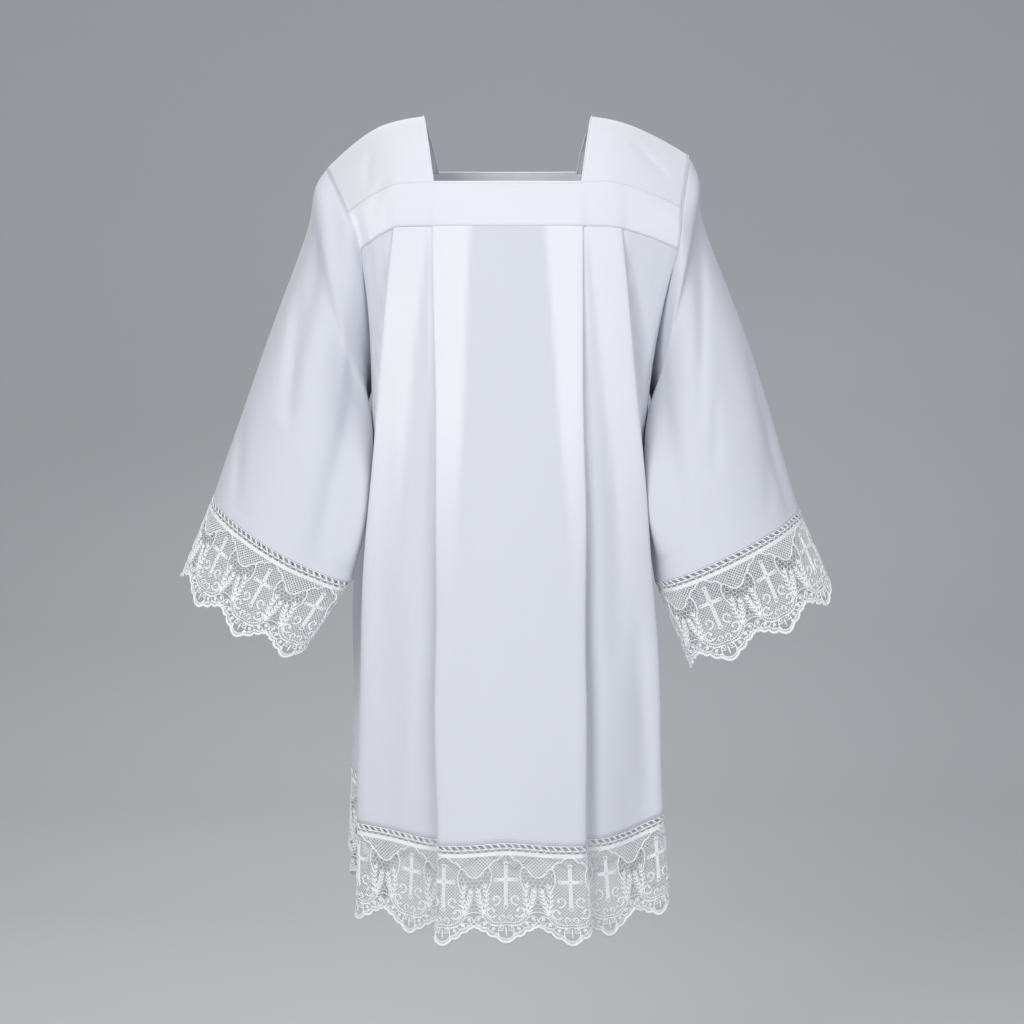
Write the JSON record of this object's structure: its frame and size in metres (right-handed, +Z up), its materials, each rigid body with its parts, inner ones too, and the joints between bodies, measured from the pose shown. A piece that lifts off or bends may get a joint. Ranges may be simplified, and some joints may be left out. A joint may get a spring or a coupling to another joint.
{
  "type": "surplice",
  "caption": "White surplice with a square neck, yoke, knife-pleated body and wide open sleeves, trimmed with scalloped lace at hem and cuffs, shown as worn.",
  "frame": {"origin": "midway between the two points where the neck opening crosses the tops of the shoulders, where a wearer or hanger carries the garment", "axes": "+Z up, the wearer faces -Y, +X to a viewer's right when facing the wearer"},
  "size_m": [0.8128, 0.4176, 1.02],
  "materials": {
    "cloth": "matte, fine plain weave, cool white",
    "lace": "matte white lace thread"
  },
  "bodies": {
    "root": {"yoke_front": "cloth", "yoke_back": "cloth", "shoulder_left": "cloth", "shoulder_right": "cloth", "skirt_front": "cloth", "skirt_back": "cloth", "sleeve_left": "cloth", "sleeve_right": "cloth", "lace_hem_front": "lace", "lace_hem_back": "lace", "lace_cuff_left_front": "lace", "lace_cuff_left_back": "lace", "lace_cuff_right_front": "lace", "lace_cuff_right_back": "lace"}
  },
  "joints": []
}
